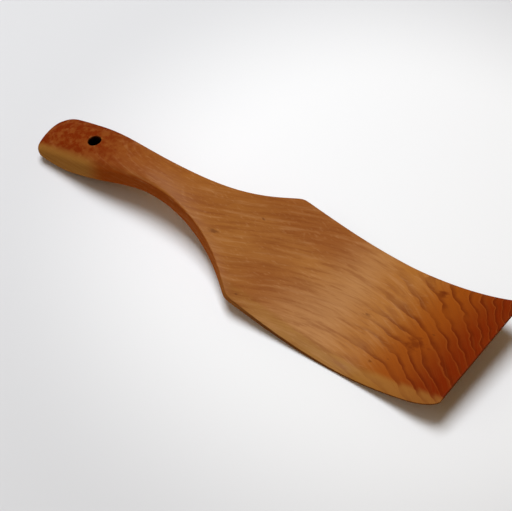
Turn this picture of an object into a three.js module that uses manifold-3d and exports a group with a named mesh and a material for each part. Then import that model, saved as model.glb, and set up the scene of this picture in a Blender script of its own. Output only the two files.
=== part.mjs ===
// A wooden spatula shaped by hand from one board: a dished blade, a flared neck and an arched handle.
// Millimetres, +Z up. It lies at rest along X, the butt at -X and the blade end at +X.
// The origin is under the middle of its box, on the table.
import * as THREE from "three";
import { mergeVertices } from "three/addons/utils/BufferGeometryUtils.js";
import Module from "manifold-3d";

// Places along the spatula, measured from the butt end.
const LENGTH = 298;
const HEEL_AT = 23;
const GRIP_AT = 35;
const CREST_AT = 84;
const WAIST_AT = 87;
const NECK_AT = 129;
const SHOULDER_AT = 163.25;
const BELLY_AT = 233;

// Widths seen from above.
const BUTT_WIDTH = 31.5;
const GRIP_WIDTH = 31.8;
const WAIST_WIDTH = 21.4;
const SHOULDER_WIDTH = 83.3;
const END_WIDTH = 80.5;

// The outline between those widths: corner roundings, and how far each curve runs on before it turns.
const BUTT_FAR_CORNER = 13.5;
const BUTT_NEAR_CORNER = 5;
const BUTT_RUN_OUT = 8;
const GRIP_RUN = 19;
const WAIST_RUN_IN = 16;
const WAIST_RUN_OUT = 44;
const FLARE_RUN = 16;
const FLARE_ANGLE = 40;
const SHOULDER_ROUND = 3;
const BLADE_BOW = 2.6;
const END_FAR_CORNER = 3.5;
const END_NEAR_CORNER = 5;
const END_NEAR_RUN = 15;
const BUTT_SKEW = -4;
const SHOULDER_SKEW = 0.5;
const END_SKEW = 10;

// The top line seen from the side: heights above the table, slopes in degrees, and the runs of its curves.
const BUTT_HEIGHT = 13.5;
const BUTT_SLOPE = 29;
const BUTT_RISE_RUN = 26;
const CREST_HEIGHT = 33;
const CREST_RUN_IN = 16;
const CREST_RUN_OUT = 50;
const BELLY_RUN_IN = 62;
const BELLY_RUN_OUT = 18;
const END_HEIGHT = 23.3;
const END_SLOPE = 34;
const END_RUN = 22;

// Thickness, upright on the handle and square to the surface on the blade.
// The sole is sanded flat where it rests on the table.
const BUTT_THICKNESS = 14.5;
const HEEL_THICKNESS = 22.4;
const GRIP_THICKNESS = 21.7;
const WAIST_THICKNESS = 15;
const NECK_THICKNESS = 13.2;
const SHOULDER_THICKNESS = 6.5;
const BELLY_THICKNESS = 4.2;
const END_THICKNESS = 1.7;
const SOLE_SANDING = 0.25;

// Long edges, full at the grip and fullest on its near side, crisper at the waist and fine on the blade.
// The top falls away to them: all across the handle, little at the shoulders, in a narrow roll on the blade.
// No edge takes up more than its share of the thickness there, and no fall more than its share of the width.
const GRIP_FAR_ROUND = 5.5;
const GRIP_NEAR_ROUND = 9;
const WAIST_TOP_ROUND = 2.4;
const BLADE_TOP_ROUND = 0.8;
const BUTT_UNDER_ROUND = 7;
const GRIP_UNDER_ROUND = 5.5;
const WAIST_UNDER_ROUND = 3.5;
const BLADE_UNDER_ROUND = 1.2;
const HANDLE_FALL = 1.2;
const SHOULDER_FALL = 0.5;
const BLADE_FALL = 1.2;
const HANDLE_FALL_RUN = 12;
const BLADE_FALL_RUN = 6.5;
const BUTT_TOP_EASE = 3.5;
const BUTT_UNDER_EASE = 7;
const BUTT_UNDER_RUN = 12;
const END_EASE = 0.5;
const EDGE_SHARE = 0.42;
const FALL_SHARE = 0.85;

// The drilled hanging hole.
const HOLE_DIAMETER = 7.5;
const HOLE_AT = 38.5;
const HOLE_EASE = 0.7;

// How finely the surface is divided.
const STATION_PITCH = 4;
const CURVE_STEPS = 4;
const END_STEPS = 10;
const ROUND_STEPS = 4;
const FALL_STEPS = 4;
const TOP_STEPS = 6;
const UNDER_STEPS = 6;
const HOLE_STEPS = 32;
const PROFILE_STEPS = 600;
const WELD = 1e-5;

const { degToRad, lerp, smoothstep } = THREE.MathUtils;
const wasm = await Module();
wasm.setup();

// A value along the spatula, joined smoothly through the given places.
function along(places, values) {
  const joined = new THREE.CubicInterpolant(places, values, 1);
  return (x) => joined.evaluate(x)[0];
}

// The half outline seen from above, from the butt end to the blade end, before its corners are rounded.
function halfOutline() {
  const butt = BUTT_WIDTH / 2;
  const grip = GRIP_WIDTH / 2;
  const waist = WAIST_WIDTH / 2;
  const shoulder = SHOULDER_WIDTH / 2;
  const end = END_WIDTH / 2;
  const flare = new THREE.Vector2(1, 0).rotateAround(new THREE.Vector2(), degToRad(FLARE_ANGLE));
  const corner = new THREE.Vector2(SHOULDER_AT, shoulder);
  const before = corner.clone().addScaledVector(flare, -SHOULDER_ROUND);
  const turn = before.clone().addScaledVector(flare, -FLARE_RUN);
  const after = SHOULDER_AT + SHOULDER_ROUND;
  const outline = new THREE.Path().moveTo(0, butt);
  outline.bezierCurveTo(BUTT_RUN_OUT, butt, GRIP_AT - GRIP_RUN, grip, GRIP_AT, grip);
  outline.bezierCurveTo(GRIP_AT + GRIP_RUN, grip, WAIST_AT - WAIST_RUN_IN, waist, WAIST_AT, waist);
  outline.bezierCurveTo(WAIST_AT + WAIST_RUN_OUT, waist, turn.x, turn.y, before.x, before.y);
  outline.quadraticCurveTo(corner.x, corner.y, after, shoulder);
  outline.quadraticCurveTo((after + LENGTH) / 2, (shoulder + end) / 2 + BLADE_BOW, LENGTH, end);
  return outline;
}

// The places of the sections: close together at the rounded ends, and a step apart between them.
function stations() {
  const butt = Math.max(BUTT_FAR_CORNER, BUTT_NEAR_CORNER, BUTT_TOP_EASE, BUTT_UNDER_RUN);
  const end = Math.max(END_FAR_CORNER, END_NEAR_RUN, END_EASE);
  const turn = Array.from({ length: END_STEPS + 1 }, (_, i) => 1 - Math.cos((i / END_STEPS) * (Math.PI / 2)));
  const between = halfOutline().curves.flatMap((curve) => {
    const steps = Math.max(CURVE_STEPS, Math.round(curve.getLength() / STATION_PITCH));
    return curve.getPoints(steps).slice(1).map((point) => point.x);
  });
  return [
    ...turn.map((part) => butt * part),
    ...between.filter((x) => x > butt && x < LENGTH - end),
    ...turn.map((part) => LENGTH - end * part).reverse(),
  ];
}

// The top line seen from the side: up from the butt over the crest, down to the belly, then up to the end.
function topLine() {
  const rise = degToRad(BUTT_SLOPE);
  const lift = degToRad(END_SLOPE);
  const belly = BELLY_THICKNESS - SOLE_SANDING;
  const line = new THREE.Path().moveTo(0, BUTT_HEIGHT);
  line.bezierCurveTo(
    BUTT_RISE_RUN * Math.cos(rise),
    BUTT_HEIGHT + BUTT_RISE_RUN * Math.sin(rise),
    CREST_AT - CREST_RUN_IN,
    CREST_HEIGHT,
    CREST_AT,
    CREST_HEIGHT,
  );
  line.bezierCurveTo(CREST_AT + CREST_RUN_OUT, CREST_HEIGHT, BELLY_AT - BELLY_RUN_IN, belly, BELLY_AT, belly);
  line.bezierCurveTo(
    BELLY_AT + BELLY_RUN_OUT,
    belly,
    LENGTH - END_RUN * Math.cos(lift),
    END_HEIGHT - END_RUN * Math.sin(lift),
    LENGTH,
    END_HEIGHT,
  );
  return line;
}

// Half width, height, slope, thickness, skew and edges, each at any place along the spatula.
const outlineTrace = halfOutline().getSpacedPoints(PROFILE_STEPS);
const halfWidth = along(
  outlineTrace.map((point) => point.x),
  outlineTrace.map((point) => point.y),
);
const line = topLine();
const trace = line.getSpacedPoints(PROFILE_STEPS);
const traceAt = trace.map((point) => point.x);
const height = along(traceAt, trace.map((point) => point.y));
const slope = along(
  traceAt,
  trace.map((_, i) => {
    const tangent = line.getTangent(i / PROFILE_STEPS);
    return Math.atan2(tangent.y, tangent.x);
  }),
);
const thickness = along(
  [0, HEEL_AT, GRIP_AT, WAIST_AT, NECK_AT, SHOULDER_AT, BELLY_AT, LENGTH],
  [
    BUTT_THICKNESS,
    HEEL_THICKNESS,
    GRIP_THICKNESS,
    WAIST_THICKNESS,
    NECK_THICKNESS,
    SHOULDER_THICKNESS,
    BELLY_THICKNESS,
    END_THICKNESS,
  ],
);
const skew = along([0, WAIST_AT, SHOULDER_AT, LENGTH], [BUTT_SKEW, 0, SHOULDER_SKEW, END_SKEW]);
const farRound = along(
  [0, GRIP_AT, WAIST_AT, SHOULDER_AT, LENGTH],
  [GRIP_FAR_ROUND, GRIP_FAR_ROUND, WAIST_TOP_ROUND, BLADE_TOP_ROUND, BLADE_TOP_ROUND],
);
const nearRound = along(
  [0, GRIP_AT, WAIST_AT, SHOULDER_AT, LENGTH],
  [GRIP_NEAR_ROUND, GRIP_NEAR_ROUND, WAIST_TOP_ROUND, BLADE_TOP_ROUND, BLADE_TOP_ROUND],
);
const underRound = along(
  [0, GRIP_AT, WAIST_AT, SHOULDER_AT, LENGTH],
  [BUTT_UNDER_ROUND, GRIP_UNDER_ROUND, WAIST_UNDER_ROUND, BLADE_UNDER_ROUND, BLADE_UNDER_ROUND],
);
const fall = along(
  [0, WAIST_AT, SHOULDER_AT, BELLY_AT, LENGTH],
  [HANDLE_FALL, HANDLE_FALL, SHOULDER_FALL, BLADE_FALL, BLADE_FALL],
);
const fallRun = along(
  [0, WAIST_AT, SHOULDER_AT, LENGTH],
  [HANDLE_FALL_RUN, HANDLE_FALL_RUN, BLADE_FALL_RUN, BLADE_FALL_RUN],
);

// How far a rounded end has drawn back from its full size, at a distance from the end face.
function drawBack(depth, run, distance) {
  const inside = Math.max(0, 1 - distance / run);
  return depth * (1 - Math.sqrt(1 - inside * inside));
}

// Points of an arc in a section plane.
function arc(y, z, radius, from, to, steps) {
  return Array.from({ length: steps + 1 }, (_, i) => {
    const angle = lerp(from, to, i / steps);
    return new THREE.Vector2(y + radius * Math.cos(angle), z + radius * Math.sin(angle));
  });
}

// Points between two ends of a level line in a section plane, without its ends.
function level(from, to, z, steps) {
  return Array.from({ length: steps - 1 }, (_, i) => new THREE.Vector2(lerp(from, to, (i + 1) / steps), z));
}

// One upper edge, from the upright side over its rounding and up the fall to the level top.
function upperEdge(half, top, round, drop, reach) {
  const span = half - round;
  const run = Math.min(reach, FALL_SHARE * span);
  const lean = 2 * Math.atan(drop / run);
  const radius = round + (run * run + drop * drop) / (2 * drop);
  const quarter = Math.PI / 2;
  return [
    ...arc(span, top - drop - round, round, 0, quarter - lean, ROUND_STEPS),
    ...arc(span - run, top - radius, radius, quarter - lean, quarter, FALL_STEPS).slice(1),
  ];
}

// One closed outline round the spatula: straight sides, rounded edges, and a top that falls away to them.
function section(x, half, top, bottom) {
  const drop = Math.min(fall(x), EDGE_SHARE * (top - bottom));
  const limit = EDGE_SHARE * Math.min(2 * half, top - bottom - drop);
  const lower = Math.min(underRound(x), limit);
  const base = half - lower;
  const far = upperEdge(half, top, Math.min(farRound(x), limit), drop, fallRun(x));
  const near = upperEdge(half, top, Math.min(nearRound(x), limit), drop, fallRun(x));
  return [
    ...far,
    ...level(far.at(-1).x, -near.at(-1).x, top, TOP_STEPS),
    ...near.reverse().map((point) => new THREE.Vector2(-point.x, point.y)),
    ...arc(-base, bottom + lower, lower, Math.PI, 1.5 * Math.PI, ROUND_STEPS),
    ...level(-base, base, bottom, UNDER_STEPS),
    ...arc(base, bottom + lower, lower, 1.5 * Math.PI, 2 * Math.PI, ROUND_STEPS),
  ];
}

// The section at a station, measured from the top line: x towards the far side, y up.
function sectionAt(x) {
  const toEnd = LENGTH - x;
  const farAtButt = drawBack(BUTT_FAR_CORNER, BUTT_FAR_CORNER, x);
  const nearAtButt = drawBack(BUTT_NEAR_CORNER, BUTT_NEAR_CORNER, x);
  const farAtEnd = drawBack(END_FAR_CORNER, END_FAR_CORNER, toEnd);
  const nearAtEnd = drawBack(END_NEAR_CORNER, END_NEAR_RUN, toEnd);
  const far = halfWidth(x) - farAtButt - farAtEnd;
  const near = halfWidth(x) - nearAtButt - nearAtEnd;
  const endEase = drawBack(END_EASE, END_EASE, toEnd);
  const outline = section(
    x,
    (far + near) / 2,
    -drawBack(BUTT_TOP_EASE, BUTT_TOP_EASE, x) - endEase,
    drawBack(BUTT_UNDER_EASE, BUTT_UNDER_RUN, x) + endEase - thickness(x),
  );
  const middle = new THREE.Vector2((far - near) / 2, 0);
  return outline.map((point) => point.add(middle));
}

// A section set in place: upright on the handle, square to the surface on the blade, slanted by the skew.
function placed(outline, x) {
  const tilt = slope(x) * smoothstep(x, WAIST_AT, SHOULDER_AT);
  const slant = Math.tan(degToRad(skew(x)));
  return outline.map(({ x: across, y: up }) => {
    const forward = slant * across;
    return new THREE.Vector3(
      x + forward * Math.cos(tilt) - up * Math.sin(tilt),
      across,
      height(x) + forward * Math.sin(tilt) + up * Math.cos(tilt),
    );
  });
}

// The shaped board: a closed skin over all the sections, with a flat cap at each end.
function shapedBoard() {
  const stops = stations();
  const outlines = stops.map(sectionAt);
  const rings = outlines.map((outline, i) => placed(outline, stops[i]));
  const count = rings[0].length;
  const last = (rings.length - 1) * count;
  const index = [];
  for (let start = 0; start < last; start += count) {
    for (let j = 0; j < count; j++) {
      const a = start + j;
      const b = start + ((j + 1) % count);
      index.push(a, b, a + count, b, b + count, a + count);
    }
  }
  for (const [a, b, c] of THREE.ShapeUtils.triangulateShape(outlines[0], [])) {
    index.push(c, b, a);
  }
  for (const [a, b, c] of THREE.ShapeUtils.triangulateShape(outlines.at(-1), [])) {
    index.push(last + a, last + b, last + c);
  }
  return new THREE.BufferGeometry().setFromPoints(rings.flat()).setIndex(index);
}

// The drill for the hanging hole, straight down through the handle.
function drill() {
  const bit = new THREE.CylinderGeometry(HOLE_DIAMETER / 2, HOLE_DIAMETER / 2, 4 * CREST_HEIGHT, HOLE_STEPS);
  return bit.rotateX(Math.PI / 2).translate(HOLE_AT, 0, 0);
}

// A countersink for one mouth of the hole, square to the surface there, so that its rim is eased evenly.
function countersink(surface, facing) {
  const radius = HOLE_DIAMETER / 2;
  const rise = Math.atan2(surface(HOLE_AT + radius) - surface(HOLE_AT - radius), HOLE_DIAMETER);
  const reach = 2 * (radius + HOLE_EASE);
  const cone = new THREE.ConeGeometry(reach, reach, HOLE_STEPS).rotateX((-facing * Math.PI) / 2);
  return cone.rotateY(-rise).translate(HOLE_AT, 0, surface(HOLE_AT));
}

// The table top, on which the belly and the butt are sanded flat.
function table() {
  const slab = new THREE.BoxGeometry(2 * LENGTH, 2 * SHOULDER_WIDTH, CREST_HEIGHT);
  return slab.translate(LENGTH / 2, 0, -CREST_HEIGHT / 2);
}

// A closed solid from a geometry, ready to be cut.
function solid(geometry) {
  const bare = geometry.clone();
  bare.deleteAttribute("normal");
  bare.deleteAttribute("uv");
  const welded = mergeVertices(bare, WELD);
  return new wasm.Manifold(
    new wasm.Mesh({
      numProp: 3,
      vertProperties: welded.attributes.position.array,
      triVerts: new Uint32Array(welded.index.array),
    }),
  );
}

const underside = (x) => height(x) - thickness(x);
const carved = [drill(), countersink(height, 1), countersink(underside, -1), table()]
  .reduce((wood, cutter) => wood.subtract(solid(cutter)), solid(shapedBoard()))
  .getMesh();

const geometry = new THREE.BufferGeometry();
geometry.setAttribute("position", new THREE.BufferAttribute(carved.vertProperties, carved.numProp));
geometry.setIndex(new THREE.BufferAttribute(carved.triVerts, 1));
geometry.computeBoundingBox();
const middle = geometry.boundingBox.getCenter(new THREE.Vector3());
geometry.translate(-middle.x, -middle.y, 0);
geometry.computeVertexNormals();

const cherry = new THREE.MeshStandardMaterial({ color: 0xb57a48, roughness: 0.5, metalness: 0 });
const body = new THREE.Mesh(geometry, cherry);
body.name = "spatula_body";

const spatula = new THREE.Group();
spatula.name = "wooden_spatula";
spatula.add(body);

export default spatula;
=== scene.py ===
from math import cos, radians, sin

import bmesh
import bpy
from mathutils import Matrix, Vector


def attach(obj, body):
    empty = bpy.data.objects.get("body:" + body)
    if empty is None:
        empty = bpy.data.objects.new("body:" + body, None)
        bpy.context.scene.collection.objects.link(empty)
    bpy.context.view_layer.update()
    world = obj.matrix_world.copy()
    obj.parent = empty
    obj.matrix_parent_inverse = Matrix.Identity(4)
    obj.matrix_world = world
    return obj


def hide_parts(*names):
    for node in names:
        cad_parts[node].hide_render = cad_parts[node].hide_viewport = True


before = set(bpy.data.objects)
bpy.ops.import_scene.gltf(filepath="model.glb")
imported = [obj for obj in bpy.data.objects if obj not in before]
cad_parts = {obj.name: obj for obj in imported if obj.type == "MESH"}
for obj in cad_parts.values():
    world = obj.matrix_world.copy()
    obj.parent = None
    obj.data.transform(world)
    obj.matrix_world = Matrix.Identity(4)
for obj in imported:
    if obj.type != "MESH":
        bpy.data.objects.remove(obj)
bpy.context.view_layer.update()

# The spatula's body: one board of flat-sawn cherry, shaped by hand and oiled, with a hole to hang it.
# The tree's middle lay far above the board and ran along it, so the rings leave the end in curved lines.
# Hand sanding has left slight waves, and use has worn the edges. The hollow of the blade is painted paler
# on its upward faces, a painted sheen.
MM = 0.001
PITH_HEIGHT = 450 * MM
PITH_LEAN = radians(20.43)
PITH_RISE = radians(0.54)
INMOST_RING = -40 * MM
RING_WIDTHS = (4, 3.5, 2.5, 2.4, 2.8, 2.7, 3, 3.7, 3.6, 3.9, 4.1, 3.1, 3.1, 3.6, 4, 4, 4, 4)
BROAD_WANDER = 6 * MM
FINE_WANDER = 3 * MM
# Each spot is a place in millimetres and the spot's radius.
GUM_FLECKS = (
    ((14.7, -37.3, 14.5), 1.3),
    ((80, -1.6, 4), 1.6),
    ((-16.2, -13.9, 24), 1.9),
    ((0.9, 12.6, 18.8), 1.5),
    ((118.9, 3.3, 10.7), 0.7),
    ((104.4, -21.9, 6.8), 0.7),
    ((96.5, -27.7, 5.3), 1.2),
)
KNOTS = (
    ((113.1, -6.3, 8.9), 5),
    ((111.1, 32.9, 8.3), 3),
)
KNOT_LIFT = 1.8 * MM
KNOT_REACH = 1.6
SPOT_STRENGTH = 0.55
SPOT_STRETCH = 0.55
HOLE_X = -113.52 * MM
HOLE_RADIUS = 3.75 * MM
# The next two reach out from the hole's wall over which a near-black painted shade fades out.
BORE_SHADE_START = 0.1 * MM
BORE_SHADE_END = 0.9 * MM
# Stretches of the board, along it or across it, over which a colour comes in.
GOLDEN_STRETCH = (55 * MM, 80 * MM)
# The next two stretches and the slant further down bound the painted sheen in the blade's hollow.
SHEEN_START = (28 * MM, 66 * MM)
SHEEN_END = (64 * MM, 86 * MM)
RUN_OUT_STRETCH = (86 * MM, 114 * MM)
STEEP_STRETCH = (108 * MM, 142 * MM)
NECK_STRETCH = (30 * MM, -40 * MM)
GRIP_STRETCH = (-30 * MM, -128 * MM)
BUTT_STRETCH = (-95 * MM, -112 * MM)
BLADE_STRETCH = (0, 60 * MM)
RIM_SHADE_STRETCH = (0, 40 * MM)
RING_STRETCH = (68 * MM, 112 * MM)
SCALLOP_STRETCH = (80 * MM, 110 * MM)
SCALLOP_DEPTH = 1.6 * MM
SAP_FADE_STRETCH = (90 * MM, 140 * MM)
BLADE_SAP = (34.8 * MM, 39.2 * MM)
BUTT_SAP = (13 * MM, 18 * MM)
DRIFT = 10 * MM
SAP_DRIFT = 6 * MM
SHEEN_SLANT = -0.4
END_SLANT = -0.12
LAYER_SLANT = -0.05
LAYER_DRIFT = 2 * MM
LONG_GRAIN = 0.04
BUMP_DEPTH = 0.15 * MM
WAVE_DEPTH = 0.12 * MM
WAVE_LENGTH = 28 * MM
SANDING_SEED = 4.0
SKIN_LEVEL = 2
EDGE_REACH = 14
EDGE_LOW = 0.06 * MM
EDGE_HIGH = 0.5 * MM
WELD = 0.001 * MM
FLAT_PAIR = radians(30)
SQUARE_PAIR = radians(50)


def tone(red, green, blue):
    """A colour as it is picked on a screen, 0 to 255, in the linear values that shaders take."""
    return tuple(((c / 255 + 0.055) / 1.055) ** 2.4 for c in (red, green, blue)) + (1,)


PALE_HEART = tone(169, 109, 52)
DEEP_HEART = tone(150, 87, 38)
GOLDEN = tone(171, 109, 45)
# The next colour is a painted sheen for the upward faces of the blade's hollow.
SHEEN_PALE = tone(190, 138, 86)
RUN_OUT_RED = tone(150, 75, 16)
STEEP_RED = tone(117, 36, 2)
TANNED = tone(148, 86, 24)
HANDLED = tone(112, 36, 1)
# The next colour is partly the upright grain's colour and partly painted shade for upright faces.
SIDE_SHADE_BROWN = tone(147, 59, 5)
SAPWOOD = tone(158, 109, 48)
# The next colour is painted shade for the blade's upright rims.
RIM_SHADE_BROWN = tone(96, 50, 18)
LATE_WOOD = tone(94, 28, 1)
SPRING_WOOD = tone(166, 94, 36)
FIBRE_SHADE = tone(126, 62, 20)
RAY_PALE = tone(196, 142, 92)
WORN_EDGE = tone(174, 116, 52)
GUM = tone(90, 40, 10)
# The next colour is near-black painted shade for the inside of the hole.
BORE_SHADE = tone(22, 10, 6)


def put(tree, kind, inputs=None, **settings):
    """A node with its settings, and each input given a value or joined to another node's socket."""
    made = tree.nodes.new(kind)
    for name, value in settings.items():
        setattr(made, name, value)
    for name, value in (inputs or {}).items():
        if isinstance(value, bpy.types.NodeSocket):
            tree.links.new(value, made.inputs[name])
        else:
            made.inputs[name].default_value = value
    return made


def calc(tree, operation, *values):
    """One step of arithmetic."""
    return put(tree, "ShaderNodeMath", dict(enumerate(values)), operation=operation).outputs[0]


def times(tree, first, *others):
    """Several values multiplied together."""
    for other in others:
        first = calc(tree, "MULTIPLY", first, other)
    return first


def ease(tree, value, start, end, low=0.0, high=1.0):
    """A soft step from low to high as the value goes from start to end."""
    inputs = {"Value": value, "From Min": start, "From Max": end, "To Min": low, "To Max": high}
    return put(tree, "ShaderNodeMapRange", inputs, interpolation_type="SMOOTHSTEP").outputs[0]


def stain(tree, amount, under, over):
    """One colour laid over another."""
    return put(tree, "ShaderNodeMix", {0: amount, 6: under, 7: over}, data_type="RGBA").outputs[2]


def vector(tree, operation, first, second, result="Vector"):
    """One step of arithmetic with places or directions."""
    return put(tree, "ShaderNodeVectorMath", {0: first, 1: second}, operation=operation).outputs[result]


def stretched(tree, place, scale):
    """A place on the wood, scaled on each axis for a pattern that runs with the grain."""
    return vector(tree, "MULTIPLY", place, scale)


def noise(tree, place, scale, detail=2.0, roughness=0.5, result="Fac"):
    """A cloudy value about one half."""
    inputs = {"Vector": place, "Scale": scale, "Detail": detail, "Roughness": roughness}
    return put(tree, "ShaderNodeTexNoise", inputs).outputs[result]


def around(tree, place, spot, stretch=1.0):
    """How far each point lies from a spot in millimetres, shortened along the grain by the stretch."""
    x, y, z = (part * MM for part in spot)
    return vector(tree, "DISTANCE", stretched(tree, place, (stretch, 1, 1)), (x * stretch, y, z), "Value")


def growth_rings(tree, place):
    """How far each point is through its growth ring, 0 to 1, with the rings bent round the knots."""
    broad = noise(tree, stretched(tree, place, (0.6, 1, 1)), 26, 1, result="Color")
    fine = noise(tree, stretched(tree, place, (0.7, 1, 1)), 105, 2, result="Color")
    bent = place
    for wander, reach in ((broad, BROAD_WANDER), (fine, FINE_WANDER)):
        offset = vector(tree, "SUBTRACT", wander, (0.5, 0.5, 0.5))
        bent = vector(tree, "ADD", bent, stretched(tree, offset, (reach, reach, reach)))
    level = put(tree, "ShaderNodeMapping", {"Vector": bent, "Rotation": (0, PITH_RISE, 0)}).outputs[0]
    pith = (0, PITH_HEIGHT * sin(PITH_LEAN), PITH_HEIGHT * cos(PITH_LEAN))
    radius = vector(tree, "DISTANCE", stretched(tree, level, (0, 1, 1)), pith, "Value")
    for spot, size in KNOTS:
        lift = ease(tree, around(tree, place, spot), 0, KNOT_REACH * size * MM, KNOT_LIFT, 0)
        radius = calc(tree, "ADD", radius, lift)
    total = sum(RING_WIDTHS)
    share = calc(tree, "DIVIDE", calc(tree, "SUBTRACT", radius, PITH_HEIGHT + INMOST_RING), total * MM)
    years = put(tree, "ShaderNodeFloatCurve", {"Value": share})
    curve = years.mapping.curves[0]
    grown = 0
    for year, width in enumerate(RING_WIDTHS[:-1], start=1):
        grown += width
        curve.points.new(grown / total, year / len(RING_WIDTHS))
    for point in curve.points:
        point.handle_type = "VECTOR"
    years.mapping.update()
    return calc(tree, "FRACT", calc(tree, "MULTIPLY", years.outputs[0], len(RING_WIDTHS)))


def sap_share(tree, where, cloud, to_end, late):
    """How much sapwood shows: a scalloped strip along the blade's near edge, and the side of the butt."""
    outer = calc(tree, "SUBTRACT", calc(tree, "MULTIPLY", cloud, SAP_DRIFT), where["Y"])
    scallops = times(tree, late, ease(tree, to_end, *SCALLOP_STRETCH, 0, SCALLOP_DEPTH))
    outer = calc(tree, "SUBTRACT", outer, scallops)
    blade = times(
        tree,
        ease(tree, outer, *BLADE_SAP),
        ease(tree, where["X"], *BLADE_STRETCH, 0.3, 0.8),
        ease(tree, to_end, *SAP_FADE_STRETCH, 1, 0.75),
    )
    butt = times(tree, ease(tree, outer, *BUTT_SAP), ease(tree, where["X"], *BUTT_STRETCH, 0, 0.9))
    return calc(tree, "MAXIMUM", blade, butt)


def grain(tree, place, where, cloud):
    """The long streaks, the fine fibres and the short rays that run along the board."""
    across = (LAYER_SLANT, -sin(PITH_LEAN), -cos(PITH_LEAN))
    depth = vector(tree, "DOT_PRODUCT", place, across, "Value")
    layer = calc(tree, "MULTIPLY_ADD", cloud, LAYER_DRIFT, depth)
    along = [calc(tree, "MULTIPLY", where[axis], LONG_GRAIN) for axis in "XY"]
    drawn = put(tree, "ShaderNodeCombineXYZ", {"X": layer, "Y": along[0], "Z": along[1]}).outputs[0]
    streaks = noise(tree, drawn, 1000, 3, 0.6)
    fibres = noise(tree, stretched(tree, drawn, (1, 0.6, 0.6)), 2600, 3, 0.6)
    rays = noise(tree, stretched(tree, place, (0.2, 1, 1)), 900, 2, 0.6)
    return streaks, fibres, rays


def marks(tree, place, colour):
    """The knots, the gum flecks and a near-black painted shade inside the hole, laid over the colour of the
    wood.
    """
    ragged = noise(tree, stretched(tree, place, (0.5, 1, 1)), 420, 2)
    tearing = ease(tree, ragged, 0.3, 0.7, 0.6, 2)
    for spots, over in ((KNOTS, LATE_WOOD), (GUM_FLECKS, GUM)):
        for spot, size in spots:
            torn = times(tree, around(tree, place, spot, SPOT_STRETCH), tearing)
            share = ease(tree, torn, 0.2 * size * MM, size * MM, SPOT_STRENGTH, 0)
            colour = stain(tree, share, colour, over)
    # Painted shade: the bore's wall and rim are painted near black, where the hole lies in shade.
    from_axis = vector(tree, "DISTANCE", stretched(tree, place, (1, 1, 0)), (HOLE_X, 0, 0), "Value")
    bore_shade = ease(tree, from_axis, HOLE_RADIUS + BORE_SHADE_START, HOLE_RADIUS + BORE_SHADE_END, 1, 0)
    return stain(tree, bore_shade, colour, BORE_SHADE)


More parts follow.
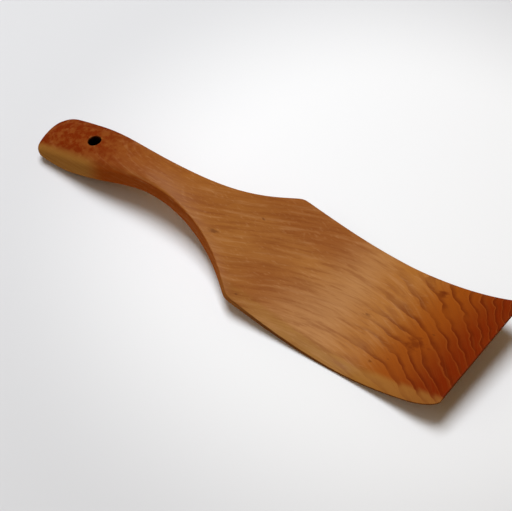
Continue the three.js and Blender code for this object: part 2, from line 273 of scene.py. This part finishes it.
def cherry_wood():
    """The oiled wood: red where the grain runs out, pale at its worn edges, with a painted sheen in the
    hollow, painted shade on upright faces and in the hole, and rings, fibres and marks.
    """
    material = bpy.data.materials.new("cherry_wood")
    material.use_nodes = True
    tree = material.node_tree
    shader = tree.nodes["Principled BSDF"]
    coordinates = tree.nodes.new("ShaderNodeTexCoord")
    place = coordinates.outputs["Object"]
    where = put(tree, "ShaderNodeSeparateXYZ", {0: place}).outputs
    facing = put(tree, "ShaderNodeSeparateXYZ", {0: coordinates.outputs["Normal"]}).outputs
    flatness = calc(tree, "ABSOLUTE", facing["Z"])
    edge = put(tree, "ShaderNodeAttribute", attribute_name="edge").outputs["Fac"]

    # The heart: golden towards the belly, pale in the hollow with a painted sheen on its upward faces, and
    # red where the blade turns up.
    cloud = noise(tree, stretched(tree, place, (0.35, 1, 1)), 32, 2)
    colour = stain(tree, ease(tree, cloud, 0.3, 0.7), PALE_HEART, DEEP_HEART)
    adrift = calc(tree, "MULTIPLY_ADD", cloud, DRIFT, calc(tree, "SUBTRACT", where["X"], DRIFT / 2))
    sheen_tilted = calc(tree, "MULTIPLY_ADD", where["Y"], SHEEN_SLANT, adrift)
    to_end = calc(tree, "MULTIPLY_ADD", where["Y"], END_SLANT, adrift)
    colour = stain(tree, ease(tree, adrift, *GOLDEN_STRETCH, 0, 0.8), colour, GOLDEN)
    # Painted sheen: the hollow's upward faces are painted paler, as if the light shone on them.
    sheen_share = times(
        tree,
        ease(tree, sheen_tilted, *SHEEN_START, 0, 0.6),
        ease(tree, adrift, *SHEEN_END, 1, 0),
        ease(tree, facing["Z"], 0.5, 0.9),
    )
    colour = stain(tree, sheen_share, colour, SHEEN_PALE)
    run_out = ease(tree, to_end, *RUN_OUT_STRETCH)
    colour = stain(tree, run_out, colour, RUN_OUT_RED)
    colour = stain(tree, ease(tree, to_end, *STEEP_STRETCH), colour, STEEP_RED)

    # The handle: tanned by use and dark in mottles where the hand holds it. Upright faces, most of all on
    # the handle, are painted a darker brown: partly the grain's own colour, partly painted shade.
    colour = stain(tree, ease(tree, where["X"], *NECK_STRETCH, 0, 0.55), colour, TANNED)
    curl = noise(tree, place, 170, 3, 0.6)
    gripped = times(
        tree,
        ease(tree, where["X"], *GRIP_STRETCH),
        ease(tree, curl, 0.35, 0.65, 0.7, 1.1),
        ease(tree, facing["Z"], 0, 0.7, 0.55, 1),
    )
    colour = stain(tree, gripped, colour, HANDLED)
    # Painted shade: upright faces, which the light from above barely reaches, are painted a darker brown.
    side = times(tree, ease(tree, flatness, 0.75, 0.3), ease(tree, where["X"], *NECK_STRETCH, 0.3, 0.75))
    colour = stain(tree, side, colour, SIDE_SHADE_BROWN)

    # The sapwood and the rings, each ring dark in its late wood and pale in the next spring's.
    phase = growth_rings(tree, place)
    late = times(tree, ease(tree, phase, 0.5, 0.95), ease(tree, phase, 0.96, 1, 1, 0))
    spring = ease(tree, phase, 0, 0.16, 0.35, 0)
    sap = sap_share(tree, where, cloud, to_end, late)
    colour = stain(tree, sap, colour, SAPWOOD)
    contrast = times(
        tree,
        ease(tree, where["X"], *RING_STRETCH, 0.1, 0.75),
        ease(tree, sheen_share, 0, 1, 1, 0.4),
        ease(tree, noise(tree, stretched(tree, place, (0.5, 1, 1)), 70, 1), 0.25, 0.6, 0.35, 1),
        calc(tree, "SUBTRACT", 1, sap),
    )
    late = times(tree, late, contrast)
    colour = stain(tree, late, colour, LATE_WOOD)
    colour = stain(tree, times(tree, spring, contrast), colour, SPRING_WOOD)

    # The grain, and then what lies over it: painted shade on the blade's upright rims, chipped edges,
    # knots, flecks, and painted shade in the hole.
    streaks, fibres, rays = grain(tree, place, where, cloud)
    plain = calc(tree, "SUBTRACT", 1, calc(tree, "MAXIMUM", run_out, gripped))
    colour = stain(tree, ease(tree, fibres, 0.45, 0.75, 0, 0.3), colour, FIBRE_SHADE)
    dark = times(tree, ease(tree, streaks, 0.5, 0.68), ease(tree, plain, 0, 1, 0.1, 0.42))
    colour = stain(tree, dark, colour, FIBRE_SHADE)
    for pale in (ease(tree, streaks, 0.47, 0.3, 0, 0.25), ease(tree, rays, 0.55, 0.75, 0, 0.25)):
        colour = stain(tree, times(tree, pale, plain), colour, RAY_PALE)
    # Painted shade: the blade's upright rims are painted dark brown.
    rim_shade = times(tree, ease(tree, flatness, 0.78, 0.4), ease(tree, where["X"], *RIM_SHADE_STRETCH, 0, 0.85))
    colour = stain(tree, rim_shade, colour, RIM_SHADE_BROWN)
    chipped = ease(tree, noise(tree, place, 260, 2), 0.4, 0.65, 0.02, 0.35)
    colour = stain(tree, times(tree, edge, chipped), colour, WORN_EDGE)
    tree.links.new(marks(tree, place, colour), shader.inputs["Base Color"])

    # The finish: a thin oil that shines a little on the blade, over open fibres.
    rough = ease(tree, run_out, 0, 1, 0.45, 0.55)
    rough = calc(tree, "ADD", rough, calc(tree, "MULTIPLY", fibres, 0.12))
    tree.links.new(rough, shader.inputs["Roughness"])
    shader.inputs["Specular IOR Level"].default_value = 0
    oil = times(
        tree,
        ease(tree, run_out, 0, 0.6, 0.14, 0.04),
        ease(tree, gripped, 0, 1, 1, 0.3),
        ease(tree, facing["Z"], 0.3, 0.9, 0.1, 1),
    )
    tree.links.new(oil, shader.inputs["Coat Weight"])
    shader.inputs["Coat Roughness"].default_value = 0.42
    relief = calc(tree, "ADD", calc(tree, "MULTIPLY", fibres, 0.6), calc(tree, "MULTIPLY", streaks, 0.8))
    relief = calc(tree, "SUBTRACT", relief, calc(tree, "MULTIPLY", late, 0.5))
    bump = put(tree, "ShaderNodeBump", {"Strength": 0.25, "Distance": BUMP_DEPTH, "Height": relief})
    tree.links.new(bump.outputs[0], shader.inputs["Normal"])
    return material


def sanded_skin():
    """The tree that rounds the solid, waves it a little and marks its worn edges."""
    tree = bpy.data.node_groups.new("sanded_skin", "GeometryNodeTree")
    for name, kind in (
        ("Solid", "Geometry"),
        ("Skin Level", "Int"),
        ("Wave Depth", "Float"),
        ("Wave Length", "Float"),
        ("Seed", "Float"),
        ("Edge Reach", "Int"),
        ("Wood", "Material"),
    ):
        tree.interface.new_socket(name, in_out="INPUT", socket_type="NodeSocket" + kind)
    tree.interface.new_socket("Skin", in_out="OUTPUT", socket_type="NodeSocketGeometry")
    given = tree.nodes.new("NodeGroupInput").outputs
    inputs = {"Mesh": given["Solid"], "Level": given["Skin Level"]}
    rounded = put(tree, "GeometryNodeSubdivisionSurface", inputs)
    position = tree.nodes.new("GeometryNodeInputPosition").outputs[0]
    normal = tree.nodes.new("GeometryNodeInputNormal").outputs[0]

    frequency = calc(tree, "DIVIDE", 1, given["Wave Length"])
    inputs = {"Vector": position, "W": given["Seed"], "Scale": frequency, "Detail": 1.0}
    waves = put(tree, "ShaderNodeTexNoise", inputs, noise_dimensions="4D").outputs["Fac"]
    taken = times(tree, waves, calc(tree, "MULTIPLY", given["Wave Depth"], -1))
    offset = put(tree, "ShaderNodeVectorMath", {0: normal, "Scale": taken}, operation="SCALE").outputs[0]
    sanded = put(tree, "GeometryNodeSetPosition", {"Geometry": rounded.outputs[0], "Offset": offset})

    inputs = {"Value": position, "Iterations": given["Edge Reach"]}
    flattened = put(tree, "GeometryNodeBlurAttribute", inputs, data_type="FLOAT_VECTOR")
    proud = vector(tree, "SUBTRACT", position, flattened.outputs[0])
    worn = ease(tree, vector(tree, "DOT_PRODUCT", proud, normal, "Value"), EDGE_LOW, EDGE_HIGH)
    inputs = {"Geometry": sanded.outputs[0], "Name": "edge", "Value": worn}
    marked = put(tree, "GeometryNodeStoreNamedAttribute", inputs, data_type="FLOAT", domain="POINT")

    smooth = put(tree, "GeometryNodeSetShadeSmooth", {0: marked.outputs[0]})
    real = put(tree, "GeometryNodeRealizeInstances", {0: smooth.outputs[0]})
    inputs = {"Geometry": real.outputs[0], "Material": given["Wood"]}
    wooden = put(tree, "GeometryNodeSetMaterial", inputs)
    put(tree, "NodeGroupOutput", {"Skin": wooden.outputs[0]})
    return tree


solid = bpy.data.meshes.new("solid")
shell = bmesh.new()
shell.from_mesh(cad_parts["spatula_body"].data)
bmesh.ops.remove_doubles(shell, verts=shell.verts, dist=WELD)
bmesh.ops.join_triangles(
    shell, faces=shell.faces, angle_face_threshold=FLAT_PAIR, angle_shape_threshold=SQUARE_PAIR
)
shell.to_mesh(solid)
shell.free()

body = bpy.data.objects.new("spatula", solid)
bpy.context.scene.collection.objects.link(body)
sanding = body.modifiers.new("sanding", "NODES")
sanding_inputs = {
    "Skin Level": SKIN_LEVEL,
    "Wave Depth": WAVE_DEPTH,
    "Wave Length": WAVE_LENGTH,
    "Seed": SANDING_SEED,
    "Edge Reach": EDGE_REACH,
    "Wood": cherry_wood(),
}
sanding.node_group = sanded_skin()
for socket in sanding.node_group.interface.items_tree:
    if socket.name in sanding_inputs:
        sanding[socket.identifier] = sanding_inputs[socket.name]
skin = bpy.data.meshes.new_from_object(body.evaluated_get(bpy.context.evaluated_depsgraph_get()))
body.modifiers.remove(sanding)
body.data = skin
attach(body, "root")
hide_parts("spatula_body")

# The table: a plain white top, painted a little darker away from the middle of the picture, a painted
# falloff of the light.
# It is only the stage for the spatula, and far off it looks as pale as the wall behind it.
TABLE_SIZE = 6
TABLE_WHITE = tone(247, 247, 248)
TABLE_SHADE_GREY = tone(219, 219, 221)
TABLE_ROUGHNESS = 0.8
BACKDROP = tone(236, 236, 237)
BRIGHTEST = (75 * MM, 65 * MM, 0)
SHADE_FALLOFF = (120 * MM, 260 * MM)
FAR_OFF = (340 * MM, 560 * MM)


def looked_at(tree):
    """1 for what the eye sees, straight or by a reflection, and 0 for the light that falls on things."""
    path = tree.nodes.new("ShaderNodeLightPath").outputs
    straight = calc(tree, "MAXIMUM", path["Is Camera Ray"], path["Is Glossy Ray"])
    return calc(tree, "MAXIMUM", straight, path["Is Transmission Ray"])


def white_table():
    """Plain white paint with painted shade that greys it away from the brightest place, and that gives way
    to the backdrop's colour.
    """
    material = bpy.data.materials.new("white_table")
    material.use_nodes = True
    tree = material.node_tree
    paint = tree.nodes["Principled BSDF"]
    paint.inputs["Roughness"].default_value = TABLE_ROUGHNESS
    place = tree.nodes.new("ShaderNodeTexCoord").outputs["Object"]
    away = vector(tree, "DISTANCE", place, BRIGHTEST, "Value")
    # Painted shade: the light's falloff away from the brightest place is painted into the table's colour.
    shade = stain(tree, ease(tree, away, *SHADE_FALLOFF), TABLE_WHITE, TABLE_SHADE_GREY)
    tree.links.new(shade, paint.inputs["Base Color"])
    pale = put(tree, "ShaderNodeEmission", {"Color": BACKDROP}).outputs[0]
    far_off = times(tree, looked_at(tree), ease(tree, away, *FAR_OFF))
    surface = put(tree, "ShaderNodeMixShader", {0: far_off, 1: paint.outputs[0], 2: pale}).outputs[0]
    tree.links.new(surface, tree.nodes["Material Output"].inputs["Surface"])
    return material


table_mesh = bpy.data.meshes.new("table")
sheet = bmesh.new()
bmesh.ops.create_grid(sheet, x_segments=1, y_segments=1, size=TABLE_SIZE / 2)
sheet.to_mesh(table_mesh)
sheet.free()
table_mesh.materials.append(white_table())
table = bpy.data.objects.new("table", table_mesh)
bpy.context.scene.collection.objects.link(table)

# The light: one wide soft window almost overhead, a little behind, and a weaker one lower on the left.
# The room is dim and warm, and its wall looks pale to the eye alone.
VIEW_MIDDLE = Vector((7.322 * MM, -5.337 * MM, 8 * MM))
ROOM = (0.17, 0.12, 0.06, 1)
WINDOW_TINT = (0.89, 0.94, 0.995)


def soft_lamp(name, place, size, power):
    """A wide lamp that looks at the middle of the view."""
    data = bpy.data.lights.new(name, "AREA")
    data.color = WINDOW_TINT
    data.size = size
    data.energy = power
    lamp = bpy.data.objects.new(name, data)
    lamp.location = place
    lamp.rotation_euler = (VIEW_MIDDLE - Vector(place)).to_track_quat("-Z", "Y").to_euler()
    bpy.context.scene.collection.objects.link(lamp)


soft_lamp("window", (-0.32, 0.18, 1.23), size=0.6, power=16)
soft_lamp("fill", (-0.9, -0.6, 0.9), size=1, power=2)
world = bpy.data.worlds.new("room")
world.use_nodes = True
wall = stain(world.node_tree, looked_at(world.node_tree), ROOM, BACKDROP)
world.node_tree.links.new(wall, world.node_tree.nodes["Background"].inputs["Color"])
bpy.context.scene.world = world

# The camera: it looks down at the spatula from its near right, as the photograph does.
# Its turn, rise and distance were fitted to the outline in the photograph.
VIEW_TURN = radians(31.514)
VIEW_RISE = radians(55.394)
VIEW_ROLL = radians(1.978)
VIEW_DISTANCE = 582.754 * MM
LENS = 70.3125

camera_data = bpy.data.cameras.new("camera")
camera_data.lens = LENS
camera = bpy.data.objects.new("camera", camera_data)
camera.matrix_world = (
    Matrix.Translation(VIEW_MIDDLE)
    @ Matrix.Rotation(VIEW_TURN, 4, "Z")
    @ Matrix.Rotation(radians(90) - VIEW_RISE, 4, "X")
    @ Matrix.Rotation(VIEW_ROLL, 4, "Z")
    @ Matrix.Translation((0, 0, VIEW_DISTANCE))
)
bpy.context.scene.collection.objects.link(camera)
bpy.context.scene.camera = camera
bpy.context.scene.view_settings.view_transform = "Standard"
